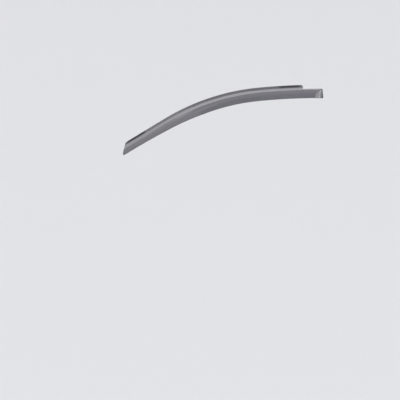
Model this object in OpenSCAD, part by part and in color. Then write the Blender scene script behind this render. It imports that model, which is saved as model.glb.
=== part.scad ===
// Front door rain deflector that pushes up into the window channel.
// Sizes are millimetres. X runs rearward, Z runs up and -Y points outboard.
// The origin is the middle of the rear tape's adhesive face.

/* [Window edge] */
// Slope of the straight run beside the windscreen pillar, in degrees
pillar_slope = 30.8; // [24:0.1:37]
// Length of that straight run
pillar_run = 203; // [150:1:260]
// Radius of the bend between the pillar run and the roof run
corner_radius = 887; // [720:1:1080]
// Slope where the bend meets the roof run, in degrees
roof_slope = 5.6; // [4:0.1:8]
// Radius of the roof run
roof_radius = 2600; // [2000:10:3600]
// Length of the deflector along the window edge
edge_length = 856; // [700:1:1030]
// Radius of the door's side seen from above
door_radius = 6500; // [4500:50:9000]

/* [Sheet section] */
// Thickness of the acrylic sheet
wall = 2.5; // [1.8:0.1:3.2]
// Height of the flat flange above its bend, at the front end where it is lowest
flange_height = 8.4; // [7.6:0.1:12]
// Distance from the flange's glass side out to the face of the door frame
frame_depth = 7; // [5.5:0.1:9]
// Radius inside the bend between the flange and the shoulder
bend_radius = 3; // [2:0.1:4]
// Tilt of the shoulder away from the door at the front end, in degrees
front_tilt = 40; // [34:0.5:46]
// Tilt of the shoulder away from the door once it is full size, in degrees
rear_tilt = 46; // [38:0.5:55]
// Height of the straight shoulder below the rubber lip, at full size
shoulder_height = 6; // [4:0.1:9]
// Radius of the crown between the shoulder and the apron, at full size
crown_radius = 29; // [22:0.5:35]
// Tilt of the flat apron under the crown, in degrees
apron_tilt = 2; // [0:0.1:6]
// Height of the blade below the rubber lip at the front end
front_height = 29; // [25:0.5:36]
// Height of the blade below the rubber lip at full size
full_height = 41; // [37:0.5:50]
// Where the blade starts to grow, measured along the window edge
growth_start = 40; // [0:1:120]
// Where the blade has reached its full size
growth_end = 380; // [300:1:560]

/* [Front end] */
// Angle between the front edge and a square cut, in degrees
front_rake = 41; // [30:0.5:48]
// Radius of the lower front corner
front_corner = 10; // [6:0.5:13]
// Length of the rounded corner at the flange's front
flange_front_round = 20; // [12:1:30]

/* [Tail end] */
// Length of blade that runs on over the door pillar, past the flange
tail_length = 80; // [60:1:100]
// Length of the rounded corner at the flange's rear
flange_rear_round = 8; // [5:0.5:9]
// Radius in the notch between the flange and the tail
notch_radius = 2; // [1:0.1:2.4]
// Gap between the back of the foot and the face of the pillar
pillar_gap = 0.8; // [0.6:0.1:1.2]
// Angle between the closing facet and the pillar beside the foot, in degrees
foot_angle = 36; // [31:0.5:42]
// Angle at which the facet meets the blade, in degrees
crease_angle = 14; // [10:0.5:20]
// Radius of the facet between those two angles
facet_radius = 80; // [60:1:110]
// Width of the foot behind the facet, at the height of the lip
foot_width = 2.8; // [2:0.1:5]
// Lean of the facet's foot line towards the front, in degrees
facet_lean = 6; // [3:0.5:9]
// Lean of the tail's rear edge towards the back, in degrees
tail_lean = 5.7; // [3:0.1:9]
// Radius of the tail's upper corner
upper_corner = 3; // [2:0.5:4]
// Radius of the tail's lower corner
lower_corner = 5; // [3:0.5:7]
// Radius inside the crease between blade and facet, where that is sharpest
crease_radius = 0.5; // [0.4:0.1:1.5]
// Radius inside the fold between facet and foot
fold_radius = 3; // [2:0.1:5]

/* [Tape] */
// Length of each strip of mounting tape
tape_length = 80; // [50:1:100]
// Thickness of the tape
tape_thickness = 0.8; // [0.5:0.1:1.2]
// Distance from the tape to the flange's rounded edge above and its bend below
tape_margin = 0.4; // [0.2:0.1:0.8]
// Distance from each end of the flange to its tape
tape_inset = 14; // [10:1:30]

/* [Hidden] */

// Mesh density: steps along the edge in each zone
front_steps = 14;
middle_steps = 36;
flange_end_steps = 5;
overhang_steps = 4;
fold_steps = 4;
facet_steps = 4;
foot_steps = 2;
// Mesh density: steps across the sheet in each zone, from the flange's top edge down
flange_steps = 2;
bend_steps = 3;
hidden_steps = 4;
shoulder_steps = 5;
crown_steps = 7;
apron_steps = 6;
// Steps round the polished edge of the sheet
rim_steps = 4;
// How much the first rows crowd towards the front cut, where 1 is evenly spaced
front_crowding = 1.5;
// How much the shoulder's columns crowd towards the tail's top edge, on the same scale
shoulder_crowding = 1.4;
// Step for numerical slopes, in millimetres along the edge and in columns across it
probe = 0.1;

// Column numbers at which one zone of the section ends and the next begins
bend_column = flange_steps;
hidden_column = bend_column + bend_steps;
tail_column = hidden_column + hidden_steps;
crown_column = tail_column + shoulder_steps;
apron_column = crown_column + crown_steps;
last_column = apron_column + apron_steps;

// Length over which the rows turn from the front cut to square, and where the flange stops
front_zone = 120;
flange_end = edge_length - tail_length;

// Row numbers at which the flange stops and the sheet ends
tail_steps = [overhang_steps, fold_steps, facet_steps, fold_steps, foot_steps];
flange_row = front_steps + middle_steps + flange_end_steps;
last_row = flange_row + overhang_steps + 2 * fold_steps + facet_steps + foot_steps;

// Share of its height that the flange keeps at its rear end
flange_stub = 0.1;
// Widths that the rows keep for facet and foot at the top of the tail, where both run out
least_facet = 2;
least_foot = 0.5;

function mix(a, b, t) = a + (b - a) * t;
function clamp(x, low, high) = min(max(x, low), high);
function smooth(t) = let (u = clamp(t, 0, 1)) u * u * (3 - 2 * u);
function unit(v) = v / norm(v);
function degrees_of(length, radius) = length / radius * 180 / PI;
function quarter_round(t) = 1 - sqrt(1 - pow(clamp(t, 0, 1), 2));
function soft_min(a, b, k) =
    let (h = clamp(0.5 + 0.5 * (b - a) / k, 0, 1)) mix(b, a, h) - k * h * (1 - h);
function soft_max(a, b, k) = -soft_min(-a, -b, k);

// The edge of the rubber lip, drawn in the door's own plane as [x, z]: a straight and two arcs
corner_length = corner_radius * (pillar_slope - roof_slope) * PI / 180;
corner_end = pillar_run + corner_length;

function slope(s) =
    s < pillar_run ? pillar_slope
    : s < corner_end ? pillar_slope - degrees_of(s - pillar_run, corner_radius)
    : roof_slope - degrees_of(s - corner_end, roof_radius);

function straight_travel(s) = s * [cos(pillar_slope), sin(pillar_slope)];
function arc_travel(r, from, to) = r * [sin(from) - sin(to), cos(to) - cos(from)];

function edge_point(s) =
    s < pillar_run ? straight_travel(s)
    : let (bend = straight_travel(pillar_run))
      s < corner_end ? bend + arc_travel(corner_radius, pillar_slope, slope(s))
      : bend + arc_travel(corner_radius, pillar_slope, roof_slope)
        + arc_travel(roof_radius, roof_slope, slope(s));

// The point a distance v below the lip, measured square to it
function below_edge(s, v) = edge_point(s) + v * [sin(slope(s)), -cos(slope(s))];

// How the section grows from the front end to its full size
function growth(s) = smooth((s - growth_start) / (growth_end - growth_start));
function blade_height(s) = mix(front_height, full_height, growth(s));
function section_scale(s) = blade_height(s) / full_height;
function tilt(s) = mix(front_tilt, rear_tilt, growth(s));

// Heights on the section, measured down from the lip
function bend_bottom(s) = -(frame_depth - wall - bend_radius * (1 - cos(tilt(s)))) / tan(tilt(s));
function bend_top(s) = bend_bottom(s) - bend_radius * sin(tilt(s));
function tail_top(s) = (pillar_gap + wall * cos(tilt(s))) / tan(tilt(s));
function shoulder_bottom(s) = shoulder_height * section_scale(s);

// The flange's front corner is part of a quarter round, up to where that runs in line with the front
// cut. Its rear corner is a whole one, down to a low stub.
flange_line = bend_top(0) - flange_height + wall / 2;
flange_rise = bend_top(0) - flange_line;
front_share = 1 / sqrt(1 + pow(flange_front_round / (flange_rise * tan(front_rake)), 2));
flange_start = front_cut(0, mix(bend_top(0), flange_line, front_share));
flange_front = flange_start + flange_front_round * sqrt(1 - pow(front_share, 2));
function flange_share(s) =
    let (
        front = 1 - quarter_round((flange_front - s) / flange_front_round),
        rear = quarter_round((s - flange_end + flange_rear_round) / flange_rear_round)
    )
    min(max(front, front_share), mix(1, flange_stub, rear));
function flange_top(s) = mix(bend_top(s), flange_line, flange_share(s));

// The section's outboard face as [distance below the lip, distance out from the flange's glass side]
function flange_face(s, t) = [mix(flange_top(s), bend_top(s), t), wall];
function bend_face(s, t) =
    let (a = tilt(s) * t)
    [bend_top(s) + bend_radius * sin(a), wall + bend_radius * (1 - cos(a))];
function shoulder_face(s, v) = [v, frame_depth + v * tan(tilt(s))];
function crown_face(s, t) =
    let (
        a = mix(tilt(s), apron_tilt, t),
        r = crown_radius * section_scale(s),
        start = shoulder_face(s, shoulder_bottom(s))
    )
    start + r * [sin(tilt(s)) - sin(a), cos(a) - cos(tilt(s))];
function apron_face(s, t) =
    let (start = crown_face(s, 1), drop = (blade_height(s) - wall / 2 - start[0]) * t)
    start + drop * [1, tan(apron_tilt)];

// Columns crowd towards the tail's top edge and the lower edge, so that their corners come out round
function section(s, j) =
    j < bend_column ? flange_face(s, j / flange_steps)
    : j < hidden_column ? bend_face(s, (j - bend_column) / bend_steps)
    : j < tail_column
        ? let (t = sin(90 * (j - hidden_column) / hidden_steps))
            shoulder_face(s, mix(bend_bottom(s), tail_top(s), t))
    : j < crown_column
        ? let (t = pow((j - tail_column) / shoulder_steps, shoulder_crowding))
            shoulder_face(s, mix(tail_top(s), shoulder_bottom(s), t))
    : j < apron_column ? crown_face(s, (j - crown_column) / crown_steps)
    : apron_face(s, sin(90 * min((j - apron_column) / apron_steps, 1)));

// At the tail a convex facet closes the blade down to a narrow foot on the pillar
foot_face = frame_depth + pillar_gap + wall;
fold_depth = fold_radius / 2 * pow(tan(foot_angle), 2);
function foot_line(v) = edge_length - foot_width - v * tan(facet_lean);

// How far the facet stands out from the foot at a distance w in front of it: an arc, then a straight
arc_width = facet_radius * (sin(foot_angle) - sin(crease_angle));
arc_rise = facet_radius * (cos(crease_angle) - cos(foot_angle));
function facet_rise(w) =
    w < 0 ? w * tan(foot_angle)
    : w < arc_width
        ? sqrt(pow(facet_radius, 2) - pow(facet_radius * sin(foot_angle) - w, 2))
            - facet_radius * cos(foot_angle)
    : arc_rise + (w - arc_width) * tan(crease_angle);
function facet_width(rise) =
    rise < arc_rise
        ? facet_radius * sin(foot_angle)
            - sqrt(pow(facet_radius, 2) - pow(max(rise, 0) + facet_radius * cos(foot_angle), 2))
    : arc_width + (rise - arc_rise) / tan(crease_angle);
function facet_face(s, v) =
    soft_max(foot_face + facet_rise(foot_line(v) - s), foot_face, fold_depth);

// Depth over which the crease is rounded, where the section's slope is that of column j
function section_tilt(s, j) =
    j < crown_column ? tilt(s)
    : mix(tilt(s), apron_tilt, min((j - crown_column) / crown_steps, 1));
function crease_depth(s, j) =
    (wall + crease_radius) / 2 * (pow(tan(section_tilt(s, j)), 2) + pow(tan(foot_angle), 2));

// The outboard face of the whole sheet as [x, out, z]
function face_point(s, j) =
    let (
        p = section(s, j),
        out = j < tail_column ? p[1] : soft_min(p[1], facet_face(s, p[0]), crease_depth(s, j)),
        q = below_edge(s, p[0])
    )
    [q[0], out, q[1]];
function face_normal(s, j) =
    let (above = j < tail_column ? j - probe : max(j - probe, tail_column))
    unit(cross(
        face_point(s + probe, j) - face_point(s - probe, j),
        face_point(s, min(j + probe, last_column)) - face_point(s, above)
    ));

// Places where the faces of the sheet end, half a wall inside its rounded edge, at a height v below
// the lip. A corner takes corner_cut off them: nothing at a height r short of its edge, and r there.
function corner_cut(past_edge, r) = r * quarter_round((past_edge + r) / r);
function lower_cut(s, v, radius) = corner_cut(v - blade_height(s) + wall / 2, radius - wall / 2);
function upper_cut(s, v) = corner_cut(tail_top(s) - v, upper_corner - wall / 2);
function front_cut(s, v) = wall / 2 - v * tan(front_rake) + lower_cut(s, v, front_corner);
function rear_cut(s, v) =
    edge_length - wall / 2 + v * tan(tail_lean) - upper_cut(s, v) - lower_cut(s, v, lower_corner);
function notch_cut(s, v) = flange_end + corner_cut(v - tail_top(s), notch_radius + wall / 2);

// Rows turn from the front cut to square, stay square as far as the flange goes, and crowd at its end
function front_row(i, j) =
    let (s = front_zone * pow(i / front_steps, front_crowding))
    s + pow(1 - s / front_zone, 2) * front_cut(s, section(s, j)[0]);
function flange_rows(j) = concat(
    [for (i = [0:front_steps - 1]) front_row(i, j)],
    [for (i = [0:middle_steps - 1])
        mix(front_zone, flange_end - flange_rear_round, i / middle_steps)],
    [for (i = [0:flange_end_steps - 1])
        flange_end - flange_rear_round * (1 - sin(90 * i / flange_end_steps))]
);

// Rows of the tail follow the notch, the facet's crease and fold, and the rear cut
function tail_rows(j) =
    let (
        p = section(edge_length, j),
        rear = rear_cut(edge_length, p[0]),
        foot = min(foot_line(p[0]), rear - least_foot),
        facet = max(facet_width(p[1] - foot_face), least_facet),
        reach = min(crease_depth(edge_length, j) / tan(crease_angle), facet / 3),
        foot_reach = min(fold_depth / tan(foot_angle), facet / 3, (rear - foot) * 2 / 3),
        knots = [notch_cut(edge_length, p[0]), foot - facet - reach, foot - facet + reach,
            foot - foot_reach, foot + foot_reach, rear]
    )
    concat(
        [for (z = [0:len(tail_steps) - 1]) for (n = [0:tail_steps[z] - 1])
            mix(knots[z], knots[z + 1], n / tail_steps[z])],
        [rear]
    );

// The door's side is a cylinder seen from above, and the sheet is wrapped round it
tape_width = flange_height - wall / 2 - 2 * tape_margin;
rear_tape_place = flange_end - tape_inset - tape_length / 2;
front_tape_place = flange_start + tape_inset + tape_length / 2;
function tape_point(s) = below_edge(s, mix(flange_line, bend_top(s), 0.5));
origin_place = tape_point(rear_tape_place);
origin_out = wall + tape_thickness;
function turn(x) = degrees_of(x - origin_place[0], door_radius);
function on_door(p) =
    let (a = turn(p[0]), r = door_radius + p[1] - origin_out)
    [r * sin(a), door_radius - r * cos(a), p[2] - origin_place[1]];

// Grid of places on the sheet: full width as far as the flange goes, then the tail alone
columns = [for (j = [0:last_column]) concat(flange_rows(j), tail_rows(j))];
grid = [for (i = [0:last_row]) [for (j = [0:last_column]) [columns[j][i], j]]];
function first_column(i) = i < flange_row ? 0 : tail_column;

// The sheet's outline as [row, column], once round
outline = concat(
    [for (i = [0:last_row]) [i, last_column]],
    [for (j = [last_column - 1:-1:tail_column]) [last_row, j]],
    [for (i = [last_row - 1:-1:flange_row]) [i, tail_column]],
    [for (j = [tail_column - 1:-1:0]) [flange_row, j]],
    [for (i = [flange_row - 1:-1:0]) [i, 0]],
    [for (j = [1:last_column - 1]) [0, j]]
);

// One place on the outline, as the points of a half round from the outboard to the inboard face
function rim(k, faces, normals) =
    let (
        n = len(outline),
        at = function (m) let (c = outline[(m + n) % n]) faces[c[0]][c[1]],
        here = outline[k],
        normal = normals[here[0]][here[1]],
        along = unit(at(k + 1) - at(k)) + unit(at(k) - at(k - 1)),
        outward = unit(cross(normal, along))
    )
    [for (m = [1:rim_steps - 1])
        let (a = 180 * m / rim_steps)
        at(k) + wall / 2 * ((cos(a) - 1) * normal + sin(a) * outward)];

module deflector() {
    width = last_column + 1;
    faces = [for (row = grid) [for (c = row) face_point(c[0], c[1])]];
    normals = [for (row = grid) [for (c = row) face_normal(c[0], c[1])]];
    inner_start = (last_row + 1) * width;
    rim_start = 2 * inner_start;
    rims = [for (k = [0:len(outline) - 1]) rim(k, faces, normals)];
    points = concat(
        [for (row = faces) each row],
        [for (i = [0:last_row]) for (j = [0:last_column]) faces[i][j] - wall * normals[i][j]],
        [for (r = rims) each r]
    );
    outer = function (i, j) i * width + j;
    inner = function (i, j) inner_start + outer(i, j);
    // The half round's points in order, with the two faces' own points at its ends
    rim_point = function (k, m)
        let (c = outline[k])
        m == 0 ? outer(c[0], c[1])
        : m == rim_steps ? inner(c[0], c[1])
        : rim_start + k * (rim_steps - 1) + m - 1;
    quads = concat(
        [for (i = [0:last_row - 1]) for (j = [first_column(i):last_column - 1])
            [outer(i, j), outer(i + 1, j), outer(i + 1, j + 1), outer(i, j + 1)]],
        [for (i = [0:last_row - 1]) for (j = [first_column(i):last_column - 1])
            [inner(i, j), inner(i, j + 1), inner(i + 1, j + 1), inner(i + 1, j)]],
        [for (k = [0:len(outline) - 1]) for (m = [0:rim_steps - 1])
            let (next = (k + 1) % len(outline))
            [rim_point(k, m), rim_point(next, m), rim_point(next, m + 1), rim_point(k, m + 1)]]
    );
    triangles = [for (q = quads) each [[q[0], q[1], q[2]], [q[0], q[2], q[3]]]];
    color([0.43, 0.43, 0.46, 0.9])
        polyhedron([for (p = points) on_door(p)], triangles);
}

// A straight strip of foam tape on the flange's outboard face, centred on a place along the edge
module tape(s) {
    q = tape_point(s);
    color([0.16, 0.16, 0.17])
        translate(on_door([q[0], wall, q[1]]))
        rotate([0, 0, turn(q[0])])
        rotate([0, -slope(s), 0])
        translate([-tape_length / 2, -tape_thickness, -tape_width / 2])
        cube([tape_length, tape_thickness, tape_width]);
}

module front_tape() { tape(front_tape_place); }
module rear_tape() { tape(rear_tape_place); }

deflector();
front_tape();
rear_tape();
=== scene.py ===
import math

import bpy
import numpy as np
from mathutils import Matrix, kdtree


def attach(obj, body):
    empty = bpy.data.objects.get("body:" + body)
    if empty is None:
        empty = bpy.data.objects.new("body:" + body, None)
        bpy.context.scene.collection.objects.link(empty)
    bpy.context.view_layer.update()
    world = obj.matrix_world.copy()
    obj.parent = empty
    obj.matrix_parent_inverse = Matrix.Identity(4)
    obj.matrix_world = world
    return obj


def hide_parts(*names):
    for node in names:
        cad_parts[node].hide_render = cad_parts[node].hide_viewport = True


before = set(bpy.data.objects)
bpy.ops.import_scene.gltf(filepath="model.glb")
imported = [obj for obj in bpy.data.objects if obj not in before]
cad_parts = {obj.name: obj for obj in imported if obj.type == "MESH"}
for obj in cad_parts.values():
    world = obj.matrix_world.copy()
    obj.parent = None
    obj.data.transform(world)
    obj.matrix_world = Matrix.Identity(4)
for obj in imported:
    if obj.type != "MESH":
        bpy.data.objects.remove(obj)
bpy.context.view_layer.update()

# All lengths are metres and all angles radians. X runs rearward, Z runs up and -Y points outboard.

# The edge of the window's rubber lip: a straight run beside the pillar, a bend and the roof run
PILLAR_SLOPE = math.radians(30.8)
PILLAR_RUN = 0.203
CORNER_RADIUS = 0.887
ROOF_SLOPE = math.radians(5.6)
ROOF_RADIUS = 2.6
EDGE_LENGTH = 0.856
DOOR_RADIUS = 6.5

# The sheet's section, from the flange in the channel down to the blade's lower edge
WALL = 0.0025
FLANGE_HEIGHT = 0.0084
FRAME_DEPTH = 0.007
BEND_RADIUS = 0.003
FRONT_TILT = math.radians(40)
REAR_TILT = math.radians(46)
SHOULDER_HEIGHT = 0.006
CROWN_RADIUS = 0.029
APRON_TILT = math.radians(2)
FRONT_HEIGHT = 0.029
FULL_HEIGHT = 0.041
GROWTH_START = 0.040
GROWTH_END = 0.380

# The front end
FRONT_RAKE = math.radians(41)
FRONT_CORNER = 0.010
FLANGE_FRONT_ROUND = 0.020

# The tail, which a facet closes down to a narrow foot on the door pillar
TAIL_LENGTH = 0.080
FLANGE_REAR_ROUND = 0.008
NOTCH_RADIUS = 0.002
PILLAR_GAP = 0.0008
FOOT_ANGLE = math.radians(36)
CREASE_ANGLE = math.radians(14)
FACET_RADIUS = 0.080
FOOT_WIDTH = 0.0028
FACET_LEAN = math.radians(6)
TAIL_LEAN = math.radians(5.7)
UPPER_CORNER = 0.003
LOWER_CORNER = 0.005
CREASE_RADIUS = 0.0005
FOLD_RADIUS = 0.003

# The strips of mounting tape
TAPE_LENGTH = 0.080
TAPE_THICKNESS = 0.0008
TAPE_MARGIN = 0.0004
TAPE_INSET = 0.014
TAPE_ROUND = 0.00022

# Mesh density: steps along the edge in each zone, then across the sheet, then round its edge
FRONT_STEPS = 44
MIDDLE_STEPS = 170
FLANGE_END_STEPS = 16
TAIL_STEPS = (12, 16, 18, 14, 8)
FLANGE_STEPS = 8
BEND_STEPS = 8
HIDDEN_STEPS = 9
SHOULDER_STEPS = 14
CROWN_STEPS = 22
APRON_STEPS = 22
RIM_STEPS = 10
TAPE_ALONG_STEPS = 120
TAPE_FACE_STEPS = 8
TAPE_ROUND_STEPS = 4

# Columns are counted across the sheet and rows along it. These are the ones at which zones begin.
BEND_COLUMN = FLANGE_STEPS
HIDDEN_COLUMN = BEND_COLUMN + BEND_STEPS
TAIL_COLUMN = HIDDEN_COLUMN + HIDDEN_STEPS
CROWN_COLUMN = TAIL_COLUMN + SHOULDER_STEPS
APRON_COLUMN = CROWN_COLUMN + CROWN_STEPS
LAST_COLUMN = APRON_COLUMN + APRON_STEPS
FLANGE_ROW = FRONT_STEPS + MIDDLE_STEPS + FLANGE_END_STEPS
LAST_ROW = FLANGE_ROW + sum(TAIL_STEPS)
SHEET_WIDTH = LAST_COLUMN + 1
INNER_START = (LAST_ROW + 1) * SHEET_WIDTH

# The rows turn from the front cut to square over this length. They crowd towards the cut, and the
# shoulder's columns crowd towards its top.
FRONT_ZONE = 0.120
FRONT_CROWDING = 1.5
SHOULDER_CROWDING = 1.4

# The share of its height that the flange keeps at its rounded rear end, and the least width of the
# facet and of the foot, so that rows never cross
FLANGE_STUB = 0.1
LEAST_FACET = 0.002
LEAST_FOOT = 0.0005

# How far apart the points are that the sheet's slope is measured from, along and across it
PROBE_LENGTH = 0.0001
PROBE_COLUMNS = 0.1

# How far the painted highlight, a lighter tint, reaches in from the sheet's edge
EDGE_HIGHLIGHT_REACH = 0.0022

FLANGE_END = EDGE_LENGTH - TAIL_LENGTH


def mix(a, b, t):
    return a + (b - a) * t


def smooth(t):
    u = np.clip(t, 0, 1)
    return u * u * (3 - 2 * u)


def quarter_round(t):
    return 1 - np.sqrt(1 - np.clip(t, 0, 1) ** 2)


def soft_min(a, b, softness):
    h = np.clip(0.5 + 0.5 * (b - a) / softness, 0, 1)
    return mix(b, a, h) - softness * h * (1 - h)


def soft_max(a, b, softness):
    return -soft_min(-a, -b, softness)


# The lip's edge in the door's own plane. s is the distance along it from the front end.
CORNER_END = PILLAR_RUN + CORNER_RADIUS * (PILLAR_SLOPE - ROOF_SLOPE)


def slope(s):
    bend = PILLAR_SLOPE - (s - PILLAR_RUN) / CORNER_RADIUS
    roof = ROOF_SLOPE - (s - CORNER_END) / ROOF_RADIUS
    return np.where(s < PILLAR_RUN, PILLAR_SLOPE, np.where(s < CORNER_END, bend, roof))


def straight_travel(s):
    return np.array([s * math.cos(PILLAR_SLOPE), s * math.sin(PILLAR_SLOPE)])


def arc_travel(radius, start, end):
    return radius * np.array([np.sin(start) - np.sin(end), np.cos(end) - np.cos(start)])


def edge_point(s):
    bend_start = straight_travel(PILLAR_RUN)[:, None]
    roof_start = bend_start + arc_travel(CORNER_RADIUS, PILLAR_SLOPE, ROOF_SLOPE)[:, None]
    bend = bend_start + arc_travel(CORNER_RADIUS, PILLAR_SLOPE, slope(s))
    roof = roof_start + arc_travel(ROOF_RADIUS, ROOF_SLOPE, slope(s))
    return np.where(s < PILLAR_RUN, straight_travel(s), np.where(s < CORNER_END, bend, roof))


def below_edge(s, v):
    """The point a distance v below the lip, measured square to it, as x and z."""
    return edge_point(s) + v * np.array([np.sin(slope(s)), -np.cos(slope(s))])


# How the section grows from the front end to its full size
def growth(s):
    return smooth((s - GROWTH_START) / (GROWTH_END - GROWTH_START))


def blade_height(s):
    return mix(FRONT_HEIGHT, FULL_HEIGHT, growth(s))


def section_scale(s):
    return blade_height(s) / FULL_HEIGHT


def tilt(s):
    return mix(FRONT_TILT, REAR_TILT, growth(s))


# Heights on the section, measured down from the lip
def bend_bottom(s):
    return -(FRAME_DEPTH - WALL - BEND_RADIUS * (1 - np.cos(tilt(s)))) / np.tan(tilt(s))


def bend_top(s):
    return bend_bottom(s) - BEND_RADIUS * np.sin(tilt(s))


def tail_top(s):
    return (PILLAR_GAP + WALL * np.cos(tilt(s))) / np.tan(tilt(s))


def shoulder_bottom(s):
    return SHOULDER_HEIGHT * section_scale(s)


# Where the faces of the sheet end at a height v below the lip, half a wall inside its rounded edge
def corner_cut(past, radius):
    """What a rounded corner takes off, at a height that lies this far past a straight edge."""
    return radius * quarter_round((past + radius) / radius)


def lower_cut(s, v, radius):
    return corner_cut(v - blade_height(s) + WALL / 2, radius - WALL / 2)


def upper_cut(s, v):
    return corner_cut(tail_top(s) - v, UPPER_CORNER - WALL / 2)


def front_cut(s, v):
    return WALL / 2 - v * math.tan(FRONT_RAKE) + lower_cut(s, v, FRONT_CORNER)


def rear_cut(s, v):
    straight = EDGE_LENGTH - WALL / 2 + v * math.tan(TAIL_LEAN)
    return straight - upper_cut(s, v) - lower_cut(s, v, LOWER_CORNER)


def notch_cut(s, v):
    return FLANGE_END + corner_cut(v - tail_top(s), NOTCH_RADIUS + WALL / 2)


# The flange's front corner is part of a quarter round, up to where that meets the front cut in line
FLANGE_LINE = bend_top(0) - FLANGE_HEIGHT + WALL / 2
FLANGE_RISE = bend_top(0) - FLANGE_LINE
FRONT_SHARE = 1 / math.hypot(1, FLANGE_FRONT_ROUND / (FLANGE_RISE * math.tan(FRONT_RAKE)))
FLANGE_START = front_cut(0, mix(bend_top(0), FLANGE_LINE, FRONT_SHARE))
FLANGE_FRONT = FLANGE_START + FLANGE_FRONT_ROUND * math.sqrt(1 - FRONT_SHARE**2)


def flange_top(s):
    front = 1 - quarter_round((FLANGE_FRONT - s) / FLANGE_FRONT_ROUND)
    rear = quarter_round((s - FLANGE_END + FLANGE_REAR_ROUND) / FLANGE_REAR_ROUND)
    share = np.minimum(np.maximum(front, FRONT_SHARE), mix(1, FLANGE_STUB, rear))
    return mix(bend_top(s), FLANGE_LINE, share)


# The section's outboard face, as distances below the lip and out from the flange's glass side
def flange_face(s, t):
    return np.array([mix(flange_top(s), bend_top(s), t), np.full_like(s, WALL)])


def bend_face(s, t):
    a = tilt(s) * t
    return np.array([bend_top(s) + BEND_RADIUS * np.sin(a), WALL + BEND_RADIUS * (1 - np.cos(a))])


def shoulder_face(s, v):
    return np.array([v, FRAME_DEPTH + v * np.tan(tilt(s))])


def crown_face(s, t):
    a = mix(tilt(s), APRON_TILT, t)
    turn = np.array([np.sin(tilt(s)) - np.sin(a), np.cos(a) - np.cos(tilt(s))])
    return shoulder_face(s, shoulder_bottom(s)) + CROWN_RADIUS * section_scale(s) * turn


def apron_face(s, t):
    start = crown_face(s, 1)
    drop = (blade_height(s) - WALL / 2 - start[0]) * t
    return start + np.array([drop, drop * math.tan(APRON_TILT)])


def section(s, j):
    """The section's outboard face at column j, which may lie between two whole ones."""
    if j < BEND_COLUMN:
        return flange_face(s, j / FLANGE_STEPS)
    if j < HIDDEN_COLUMN:
        return bend_face(s, (j - BEND_COLUMN) / BEND_STEPS)
    if j < TAIL_COLUMN:
        share = math.sin(math.pi / 2 * (j - HIDDEN_COLUMN) / HIDDEN_STEPS)
        return shoulder_face(s, mix(bend_bottom(s), tail_top(s), share))
    if j < CROWN_COLUMN:
        share = ((j - TAIL_COLUMN) / SHOULDER_STEPS) ** SHOULDER_CROWDING
        return shoulder_face(s, mix(tail_top(s), shoulder_bottom(s), share))
    if j < APRON_COLUMN:
        return crown_face(s, (j - CROWN_COLUMN) / CROWN_STEPS)
    return apron_face(s, math.sin(math.pi / 2 * min((j - APRON_COLUMN) / APRON_STEPS, 1)))


# At the tail a convex facet closes the blade down to the foot. Seen from above it is an arc beside
# the foot, and straight from there to the crease.
FOOT_FACE = FRAME_DEPTH + PILLAR_GAP + WALL
FOLD_DEPTH = FOLD_RADIUS / 2 * math.tan(FOOT_ANGLE) ** 2
ARC_WIDTH = FACET_RADIUS * (math.sin(FOOT_ANGLE) - math.sin(CREASE_ANGLE))
ARC_RISE = FACET_RADIUS * (math.cos(CREASE_ANGLE) - math.cos(FOOT_ANGLE))


def foot_line(v):
    return EDGE_LENGTH - FOOT_WIDTH - v * math.tan(FACET_LEAN)


def facet_rise(w):
    """How far the facet stands out from the foot at a distance w in front of it."""
    across = FACET_RADIUS * math.sin(FOOT_ANGLE) - np.clip(w, 0, ARC_WIDTH)
    arc = np.sqrt(FACET_RADIUS**2 - across**2)
    behind = np.minimum(w, 0) * math.tan(FOOT_ANGLE)
    ahead = np.maximum(w - ARC_WIDTH, 0) * math.tan(CREASE_ANGLE)
    return arc - FACET_RADIUS * math.cos(FOOT_ANGLE) + behind + ahead


def facet_width(rise):
    """How far in front of the foot the facet stands out this much."""
    arc = FACET_RADIUS**2 - (np.clip(rise, 0, ARC_RISE) + FACET_RADIUS * math.cos(FOOT_ANGLE)) ** 2
    ahead = max(rise - ARC_RISE, 0) / math.tan(CREASE_ANGLE)
    return FACET_RADIUS * math.sin(FOOT_ANGLE) - math.sqrt(arc) + ahead


def facet_face(s, v):
    return soft_max(FOOT_FACE + facet_rise(foot_line(v) - s), FOOT_FACE, FOLD_DEPTH)


def crease_depth(s, j):
    """Depth over which the crease is rounded, where the section's slope is that of column j."""
    section_tilt = mix(tilt(s), APRON_TILT, min(max((j - CROWN_COLUMN) / CROWN_STEPS, 0), 1))
    return (WALL + CREASE_RADIUS) / 2 * (np.tan(section_tilt) ** 2 + math.tan(FOOT_ANGLE) ** 2)


def face_point(s, j):
    """Points of the whole sheet's outboard face in column j, as x, distance out and z."""
    v, out = section(s, j)
    if j >= TAIL_COLUMN:
        out = soft_min(out, facet_face(s, v), crease_depth(s, j))
    x, z = below_edge(s, v)
    return np.array([x, out, z])


def face_normal(s, j):
    """The outboard face's normals, from points a small step to either side."""
    above = j - PROBE_COLUMNS if j < TAIL_COLUMN else max(j - PROBE_COLUMNS, TAIL_COLUMN)
    along = face_point(s + PROBE_LENGTH, j) - face_point(s - PROBE_LENGTH, j)
    down = face_point(s, min(j + PROBE_COLUMNS, LAST_COLUMN)) - face_point(s, above)
    normal = np.cross(along, down, axis=0)
    return normal / np.linalg.norm(normal, axis=0)


def front_rows(j):
    """Rows that turn from the front cut to square."""
    s = FRONT_ZONE * (np.arange(FRONT_STEPS) / FRONT_STEPS) ** FRONT_CROWDING
    return s + (1 - s / FRONT_ZONE) ** 2 * front_cut(s, section(s, j)[0])


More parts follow.
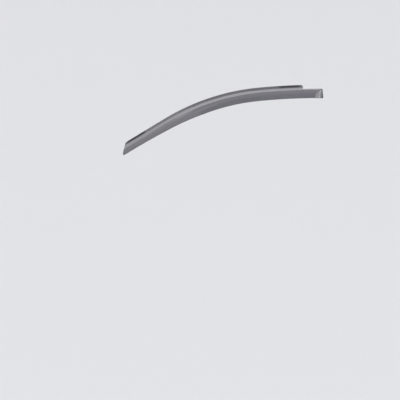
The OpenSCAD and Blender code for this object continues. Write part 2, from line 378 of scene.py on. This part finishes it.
def middle_rows():
    """Square rows as far as the flange goes, crowding at its rounded end."""
    round_start = FLANGE_END - FLANGE_REAR_ROUND
    middle = mix(FRONT_ZONE, round_start, np.arange(MIDDLE_STEPS) / MIDDLE_STEPS)
    crowding = 1 - np.sin(math.pi / 2 * np.arange(FLANGE_END_STEPS) / FLANGE_END_STEPS)
    return np.concatenate([middle, FLANGE_END - FLANGE_REAR_ROUND * crowding])


def tail_rows(j):
    """Rows that follow the facet's two folds and the rear cut."""
    v, out = section(np.array([EDGE_LENGTH]), j)[:, 0]
    rear = rear_cut(EDGE_LENGTH, v)
    foot = min(foot_line(v), rear - LEAST_FOOT)
    facet = max(facet_width(out - FOOT_FACE), LEAST_FACET)
    reach = min(crease_depth(EDGE_LENGTH, j) / math.tan(CREASE_ANGLE), facet / 3)
    foot_reach = min(FOLD_DEPTH / math.tan(FOOT_ANGLE), facet / 3, (rear - foot) * 2 / 3)
    crease = foot - facet
    folds = [crease - reach, crease + reach, foot - foot_reach, foot + foot_reach]
    knots = [notch_cut(EDGE_LENGTH, v), *folds, rear]
    steps = [mix(a, b, np.arange(n) / n) for a, b, n in zip(knots, knots[1:], TAIL_STEPS)]
    return np.concatenate(steps + [[rear]])


# The tapes lie along the middle of the flange. The rear one's face has the origin at its middle.
REAR_TAPE_PLACE = FLANGE_END - TAPE_INSET - TAPE_LENGTH / 2
FRONT_TAPE_PLACE = FLANGE_START + TAPE_INSET + TAPE_LENGTH / 2


def tape_line(s):
    """Height of the tape's middle on the flange, measured down from the lip."""
    return mix(FLANGE_LINE, bend_top(s), 0.5)


ORIGIN_X, ORIGIN_Z = below_edge(np.array([REAR_TAPE_PLACE]), tape_line(REAR_TAPE_PLACE))[:, 0]
ORIGIN_OUT = WALL + TAPE_THICKNESS


def on_door(points):
    """Wraps points round the door's side, which is part of a cylinder seen from above."""
    x, out, z = points
    a = (x - ORIGIN_X) / DOOR_RADIUS
    radius = DOOR_RADIUS + out - ORIGIN_OUT
    return np.array([radius * np.sin(a), DOOR_RADIUS - radius * np.cos(a), z - ORIGIN_Z])


def sheet_outline():
    """The sheet's outline as row and column, once round."""
    return (
        [(i, LAST_COLUMN) for i in range(LAST_ROW + 1)]
        + [(LAST_ROW, j) for j in range(LAST_COLUMN - 1, TAIL_COLUMN - 1, -1)]
        + [(i, TAIL_COLUMN) for i in range(LAST_ROW - 1, FLANGE_ROW - 1, -1)]
        + [(FLANGE_ROW, j) for j in range(TAIL_COLUMN - 1, -1, -1)]
        + [(i, 0) for i in range(FLANGE_ROW - 1, -1, -1)]
        + [(0, j) for j in range(1, LAST_COLUMN)]
    )


def new_piece(name, points, faces, material, stands_for):
    """A smooth mesh that replaces one CAD node and rides on its body."""
    mesh = bpy.data.meshes.new(name)
    mesh.from_pydata(points.tolist(), [], faces)
    mesh.validate()
    mesh.shade_smooth()
    mesh.materials.append(material)
    piece = bpy.data.objects.new(name, mesh)
    bpy.context.scene.collection.objects.link(piece)
    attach(piece, "root")
    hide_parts(stands_for)
    return piece


def point_attribute(mesh, name, kind, values):
    attribute = mesh.attributes.new(name, kind, "POINT")
    field = "vector" if kind == "FLOAT_VECTOR" else "value"
    attribute.data.foreach_set(field, np.asarray(values, np.float32).ravel())


def half_round(faces, normals, outline):
    """Points of the half round that joins the two faces, at each place on the outline."""
    at = np.array([faces[:, i, j] for i, j in outline])
    normal = np.array([normals[:, i, j] for i, j in outline])
    step = np.roll(at, -1, axis=0) - at
    step /= np.linalg.norm(step, axis=1, keepdims=True)
    outward = np.cross(normal, step + np.roll(step, 1, axis=0))
    outward /= np.linalg.norm(outward, axis=1, keepdims=True)
    angles = [math.pi * m / RIM_STEPS for m in range(1, RIM_STEPS)]
    turns = [(math.cos(a) - 1) * normal + math.sin(a) * outward for a in angles]
    return np.stack([at + WALL / 2 * turn for turn in turns], axis=1)


# Point numbers: the outboard face, then the inboard face, then the half round between them
def outer(i, j):
    return i * SHEET_WIDTH + j


def inner(i, j):
    return INNER_START + outer(i, j)


def rim(outline, k, m):
    if m == 0:
        return outer(*outline[k])
    if m == RIM_STEPS:
        return inner(*outline[k])
    return 2 * INNER_START + k * (RIM_STEPS - 1) + m - 1


def sheet_quads(outline):
    quads = []
    for i in range(LAST_ROW):
        for j in range(0 if i < FLANGE_ROW else TAIL_COLUMN, LAST_COLUMN):
            corners = (i, j), (i, j + 1), (i + 1, j + 1), (i + 1, j)
            quads.append(tuple(outer(*corner) for corner in corners))
            quads.append(tuple(inner(*corners[n]) for n in (0, 3, 2, 1)))
    for k in range(len(outline)):
        after = (k + 1) % len(outline)
        for m in range(RIM_STEPS):
            corners = (k, m), (k, m + 1), (after, m + 1), (after, m)
            quads.append(tuple(rim(outline, *corner) for corner in corners))
    return quads


def edge_nearness(points, edge):
    """How near each point is to the sheet's edge, from 1 on the edge down to 0 well inside it."""
    tree = kdtree.KDTree(len(edge))
    for number, place in enumerate(edge):
        tree.insert(place, number)
    tree.balance()
    return [math.exp(-((tree.find(place)[2] / EDGE_HIGHLIGHT_REACH) ** 2)) for place in points]


def make_blade(material):
    """One formed sheet: two faces a wall apart, and a half round between them."""
    columns = range(SHEET_WIDTH)
    rows = [np.concatenate([front_rows(j), middle_rows(), tail_rows(j)]) for j in columns]
    faces = np.stack([face_point(s, j) for j, s in enumerate(rows)], axis=2)
    normals = np.stack([face_normal(s, j) for j, s in enumerate(rows)], axis=2)
    places = np.stack([np.array([s, section(s, j)[0]]) for j, s in enumerate(rows)], axis=2)

    outline = sheet_outline()
    rims = half_round(faces, normals, outline).reshape(-1, 3)
    flat = np.moveaxis(faces, 0, 2).reshape(-1, 3)
    flat_inner = flat - WALL * np.moveaxis(normals, 0, 2).reshape(-1, 3)
    points = on_door(np.concatenate([flat, flat_inner, rims]).T).T

    # Beyond the notch the sheet has no flange, so the points of its columns there are dropped
    quads = sheet_quads(outline)
    used = sorted({corner for quad in quads for corner in quad})
    renumbered = {old: new for new, old in enumerate(used)}
    quads = [tuple(renumbered[corner] for corner in quad) for quad in quads]
    points = points[used]
    piece = new_piece("blade", points, quads, material, "deflector")

    # For the material: places on the sheet, and how near each point is to the sheet's edge
    flat_places = np.moveaxis(places, 0, 2).reshape(-1, 2)
    rim_places = np.repeat([places[:, i, j] for i, j in outline], RIM_STEPS - 1, axis=0)
    sheet_places = np.concatenate([flat_places, flat_places, rim_places])[used]
    sheet_places = np.column_stack([sheet_places, np.zeros(len(sheet_places))])
    edge = points[[renumbered[rim(outline, k, RIM_STEPS // 2)] for k in range(len(outline))]]
    point_attribute(piece.data, "sheet_place", "FLOAT_VECTOR", sheet_places)
    # The nearness to the edge sets where a highlight is painted on the rim
    point_attribute(piece.data, "painted_edge_highlight", "FLOAT", edge_nearness(points, edge))
    return piece


def tape_profile():
    """Once round the strip: distance across it, distance out from the flange, and 1 on a film."""
    half = (FLANGE_HEIGHT - WALL / 2 - 2 * TAPE_MARGIN) / 2
    profile = []
    for side, out_start in ((1, 0), (-1, TAPE_THICKNESS)):
        for n in range(TAPE_FACE_STEPS + 1):
            across = side * mix(-1, 1, n / TAPE_FACE_STEPS) * (half - TAPE_ROUND)
            profile.append((across, out_start, 1.0))
        for n in range(1, TAPE_ROUND_STEPS):
            share = n / TAPE_ROUND_STEPS
            bulge = TAPE_ROUND * math.sin(math.pi * share)
            out = out_start + side * TAPE_THICKNESS * share
            profile.append((side * (half - TAPE_ROUND + bulge), out, 0.0))
    return profile


def make_tape(name, middle, material, stands_for):
    """A strip of foam tape laid along the flange's outboard face."""
    profile = tape_profile()
    along = np.linspace(-TAPE_LENGTH / 2, TAPE_LENGTH / 2, TAPE_ALONG_STEPS + 1)
    points, film = [], []
    for d in along:
        s = np.array([middle + d])
        end = min(TAPE_LENGTH / 2 - abs(d), TAPE_ROUND) / TAPE_ROUND
        squeeze = 1 - TAPE_ROUND / (FLANGE_HEIGHT / 2) * quarter_round(1 - end)
        for across, out, on_film in profile:
            x, z = below_edge(s, tape_line(s) + across * squeeze)[:, 0]
            points.append(on_door(np.array([x, WALL + out, z])))
            film.append(on_film)
    count = len(profile)
    faces = []
    for n in range(TAPE_ALONG_STEPS):
        for m in range(count):
            after = (m + 1) % count
            row, beyond = n * count, (n + 1) * count
            faces.append((row + m, beyond + m, beyond + after, row + after))
    faces.append(tuple(range(count)))
    faces.append(tuple(TAPE_ALONG_STEPS * count + m for m in reversed(range(count))))
    piece = new_piece(name, np.array(points), faces, material, stands_for)
    point_attribute(piece.data, "film", "FLOAT", film)
    return piece


# Materials. Scales are in patches a metre, depths in metres, and colours are linear.
# The edge tint and its share are a painted highlight: a lighter tint along the sheet's rim
EDGE_HIGHLIGHT_SHARE = 0.55
TINT_DARK = (0.100, 0.097, 0.115, 1)
TINT_LIGHT = (0.109, 0.105, 0.125, 1)
EDGE_HIGHLIGHT_TINT = (0.145, 0.141, 0.164, 1)
TINT_SCALE = 9.0
POLISH = (0.07, 0.13)
POLISH_SCALE = 34.0
WIPING = (-0.012, 0.012)
WIPING_SCALES = (12.0, 420.0, 1.0)
WAVE_SCALE = 14.0
WAVE_DEPTH = 0.00012
ACRYLIC_INDEX = 1.49
# The darker foam colour is painted shade in the pits of the foam's cells
FOAM_PIT_SHADE = (0.012, 0.012, 0.013, 1)
FOAM_LIGHT = (0.045, 0.045, 0.048, 1)
FILM_DARK = (0.024, 0.024, 0.026, 1)
FILM_LIGHT = (0.036, 0.036, 0.039, 1)
FOAM_ROUGHNESS = 0.92
FILM_ROUGHNESS = 0.46
CELL_SCALE = 5200.0
CELL_DEPTH = 0.00006
CELL_REACH = (0.0, 0.6)
MOTTLE_SCALE = 420.0
MOTTLE_DEPTH = 0.00003
NOISE_MIDDLE = (0.3, 0.7)


class Nodes:
    """Short names for making and joining the nodes of one material."""

    def __init__(self, name):
        self.material = bpy.data.materials.new(name)
        self.material.use_nodes = True
        self.tree = self.material.node_tree
        self.shader = self.tree.nodes["Principled BSDF"]

    def add(self, kind, inputs=(), **settings):
        node = self.tree.nodes.new(kind)
        for key, value in settings.items():
            setattr(node, key, value)
        for key, value in dict(inputs).items():
            self.put(node.inputs[key], value)
        return node

    def put(self, socket, value):
        if isinstance(value, bpy.types.NodeSocket):
            self.tree.links.new(value, socket)
        else:
            socket.default_value = value

    def place(self):
        return self.add("ShaderNodeTexCoord").outputs["Object"]

    def attribute(self, name, output="Fac"):
        return self.add("ShaderNodeAttribute", attribute_name=name).outputs[output]

    def noise(self, place, scale, detail=2.0, roughness=0.5):
        inputs = {"Vector": place, "Scale": scale, "Detail": detail, "Roughness": roughness}
        return self.add("ShaderNodeTexNoise", inputs).outputs["Fac"]

    def stretch(self, place, scale):
        return self.add("ShaderNodeMapping", {"Vector": place, "Scale": scale}).outputs["Vector"]

    def to_range(self, value, low, high, from_low=0.0, from_high=1.0):
        ends = {"From Min": from_low, "From Max": from_high, "To Min": low, "To Max": high}
        return self.add("ShaderNodeMapRange", {"Value": value, **ends}).outputs["Result"]

    def sum(self, a, b):
        return self.add("ShaderNodeMath", {0: a, 1: b}, operation="ADD").outputs["Value"]

    def blend(self, share, a, b):
        node = self.add("ShaderNodeMix", data_type="RGBA")
        colours = [socket for socket in node.inputs if socket.type == "RGBA"]
        self.put(node.inputs["Factor"], share)
        self.put(colours[0], a)
        self.put(colours[1], b)
        return next(socket for socket in node.outputs if socket.type == "RGBA")

    def bump(self, height, depth, strength=1.0, normal=None):
        inputs = {"Height": height, "Distance": depth, "Strength": strength}
        if normal is not None:
            inputs["Normal"] = normal
        return self.add("ShaderNodeBump", inputs).outputs["Normal"]

    def finish(self, **sockets):
        for name, value in sockets.items():
            self.put(self.shader.inputs[name.replace("_", " ")], value)
        return self.material


def smoke_acrylic():
    """Polished smoke-grey acrylic: an even tint, faint lengthwise wiping and a painted edge
    highlight.
    """
    nodes = Nodes("smoke_acrylic")
    place = nodes.place()
    along = nodes.stretch(nodes.attribute("sheet_place", "Vector"), WIPING_SCALES)
    cloud = nodes.noise(place, TINT_SCALE, detail=3.0)
    wiping = nodes.noise(along, 1.0, detail=1.0)
    handling = nodes.noise(place, POLISH_SCALE, detail=4.0, roughness=0.6)
    tint = nodes.blend(nodes.to_range(cloud, 0.0, 1.0, *NOISE_MIDDLE), TINT_DARK, TINT_LIGHT)
    # A lighter tint near the sheet's edge: a painted highlight on the rim
    edge = nodes.to_range(nodes.attribute("painted_edge_highlight"), 0.0, EDGE_HIGHLIGHT_SHARE)
    marks = nodes.to_range(wiping, *WIPING, *NOISE_MIDDLE)
    polish = nodes.to_range(handling, *POLISH, *NOISE_MIDDLE)
    return nodes.finish(
        Base_Color=nodes.blend(edge, tint, EDGE_HIGHLIGHT_TINT),
        Roughness=nodes.sum(marks, polish),
        Normal=nodes.bump(nodes.noise(place, WAVE_SCALE, detail=1.0), WAVE_DEPTH),
        IOR=ACRYLIC_INDEX,
        Transmission_Weight=0.2,
        Coat_Weight=1.0,
        Coat_Roughness=0.04,
        Coat_IOR=ACRYLIC_INDEX,
    )


def foam_tape():
    """Dark foam tape: fine open cells on its cut sides and smoother adhesive film on its faces."""
    nodes = Nodes("foam_tape")
    place = nodes.place()
    film = nodes.attribute("film")
    inputs = {"Vector": place, "Scale": CELL_SCALE}
    cells = nodes.add("ShaderNodeTexVoronoi", inputs).outputs["Distance"]
    mottle = nodes.noise(place, MOTTLE_SCALE, detail=3.0, roughness=0.6)
    # The cells' pits, where the bump sinks, are painted darker: painted shade in the pores
    foam = nodes.blend(nodes.to_range(cells, 0.0, 1.0, *CELL_REACH), FOAM_PIT_SHADE, FOAM_LIGHT)
    skin = nodes.blend(mottle, FILM_DARK, FILM_LIGHT)
    pores = nodes.bump(cells, CELL_DEPTH, strength=0.8)
    return nodes.finish(
        Base_Color=nodes.blend(film, foam, skin),
        Roughness=nodes.to_range(film, FOAM_ROUGHNESS, FILM_ROUGHNESS),
        Normal=nodes.bump(mottle, MOTTLE_DEPTH, strength=0.6, normal=pores),
        IOR=1.45,
    )


acrylic = smoke_acrylic()
foam = foam_tape()
make_blade(acrylic)
make_tape("front_strip", FRONT_TAPE_PLACE, foam, "front_tape")
make_tape("rear_strip", REAR_TAPE_PLACE, foam, "rear_tape")

# Floor: flat round the object, and swept up to a low wall far away, so that no horizon shows
FLOOR_DROP = 4.0
FLAT_RADIUS = 12.0
SWEEP_RADIUS = 7.4
SWEEP_STEPS = 24
ROUND_STEPS = 96
FLOOR_COLOUR = (0.87, 0.87, 0.88, 1)
FLOOR_ROUGHNESS = 0.8


def make_floor():
    """A pale floor well below the blade, which hangs in the air as it does on a door."""
    material = Nodes("floor").finish(Base_Color=FLOOR_COLOUR, Roughness=FLOOR_ROUGHNESS)
    rounds = [2 * math.pi * n / ROUND_STEPS for n in range(ROUND_STEPS)]
    points = []
    for n in range(SWEEP_STEPS + 1):
        sweep = math.pi / 2 * n / SWEEP_STEPS
        r = FLAT_RADIUS + SWEEP_RADIUS * math.sin(sweep)
        z = SWEEP_RADIUS * (1 - math.cos(sweep)) - FLOOR_DROP
        points.extend((r * math.cos(a), r * math.sin(a), z) for a in rounds)
    faces = [tuple(range(ROUND_STEPS))]
    for n in range(SWEEP_STEPS):
        for m in range(ROUND_STEPS):
            after = (m + 1) % ROUND_STEPS
            row, above = n * ROUND_STEPS, (n + 1) * ROUND_STEPS
            faces.append((row + m, above + m, above + after, row + after))
    mesh = bpy.data.meshes.new("floor")
    mesh.from_pydata(points, [], faces)
    mesh.shade_smooth()
    mesh.materials.append(material)
    floor = bpy.data.objects.new("floor", mesh)
    bpy.context.scene.collection.objects.link(floor)


# Soft panels: name, place, turn about X and then Z in degrees, width and length, and watts
PANELS = (
    ("overhead_strip", (-0.6, 0.19, 1.5), (0, 0), (4.6, 0.44), 9),
    ("overhead_front", (-2.05, -0.12, 1.5), (0, 0), (1.7, 0.44), 1.2),
    ("overhead_bank", (-0.6, -1.2, 1.4), (38, 0), (4.2, 1.5), 6.2),
    ("bend_bank", (-1.57, -0.92, 1.62), (38, 0), (0.36, 1.35), 1.5),
    ("side_panel", (2.1, -2.3, -0.15), (90, 90), (2.6, 0.9), 13),
    ("side_strip", (2.1, -0.78, -0.15), (90, 90), (0.3, 0.9), 3.4),
    ("front_panel", (-1.34, -2.0, 0.7), (90, 0), (1.3, 1.6), 3.2),
    ("wide_panel", (-0.3, -2.6, 0.35), (90, 0), (4.4, 1.3), 3.8),
    ("front_bank", (-2.6, -0.9, 1.9), (50, -90), (1.2, 0.8), 4),
    ("rear_bank", (2.4, -0.9, 2.1), (50, 90), (1.2, 0.8), 6),
    ("back_strip", (0.0, 2.6, -0.6), (-95, 0), (6.0, 0.4), 9),
)
WORLD_COLOUR = (0.97, 0.975, 1.0, 1)
WORLD_STRENGTH = 0.95


def softbox(name, place, turn, size, watts):
    """A soft panel that shines straight down until it is turned."""
    light = bpy.data.lights.new(name, "AREA")
    light.shape = "RECTANGLE"
    light.size, light.size_y = size
    light.energy = watts
    panel = bpy.data.objects.new(name, light)
    panel.location = place
    panel.rotation_euler = (math.radians(turn[0]), 0, math.radians(turn[1]))
    panel.visible_camera = False
    bpy.context.scene.collection.objects.link(panel)


def make_lights():
    for panel in PANELS:
        softbox(*panel)
    world = bpy.data.worlds.new("studio")
    bpy.context.scene.world = world
    world.use_nodes = True
    background = world.node_tree.nodes["Background"]
    background.inputs["Color"].default_value = WORLD_COLOUR
    background.inputs["Strength"].default_value = WORLD_STRENGTH


# The photograph is 400 pixels square, and the front end of the lip's edge falls on LIP_PIXEL
PICTURE_PIXELS = 400
PIXEL = 0.00405
LIP_PIXEL = (124.0, 146.8)
CAMERA_DISTANCE = 7.0


def make_camera():
    """A camera square to the door, as in the photograph."""
    data = bpy.data.cameras.new("camera")
    data.lens = data.sensor_width * CAMERA_DISTANCE / (PICTURE_PIXELS * PIXEL)
    camera = bpy.data.objects.new("camera", data)
    lip = on_door(np.array([0, FRAME_DEPTH, 0]))
    across = (PICTURE_PIXELS / 2 - LIP_PIXEL[0]) * PIXEL
    up = (LIP_PIXEL[1] - PICTURE_PIXELS / 2) * PIXEL
    camera.location = (lip[0] + across, -CAMERA_DISTANCE, lip[2] + up)
    camera.rotation_euler = (math.pi / 2, 0, 0)
    bpy.context.scene.collection.objects.link(camera)
    bpy.context.scene.camera = camera


make_floor()
make_lights()
make_camera()
bpy.context.scene.view_settings.view_transform = "Standard"
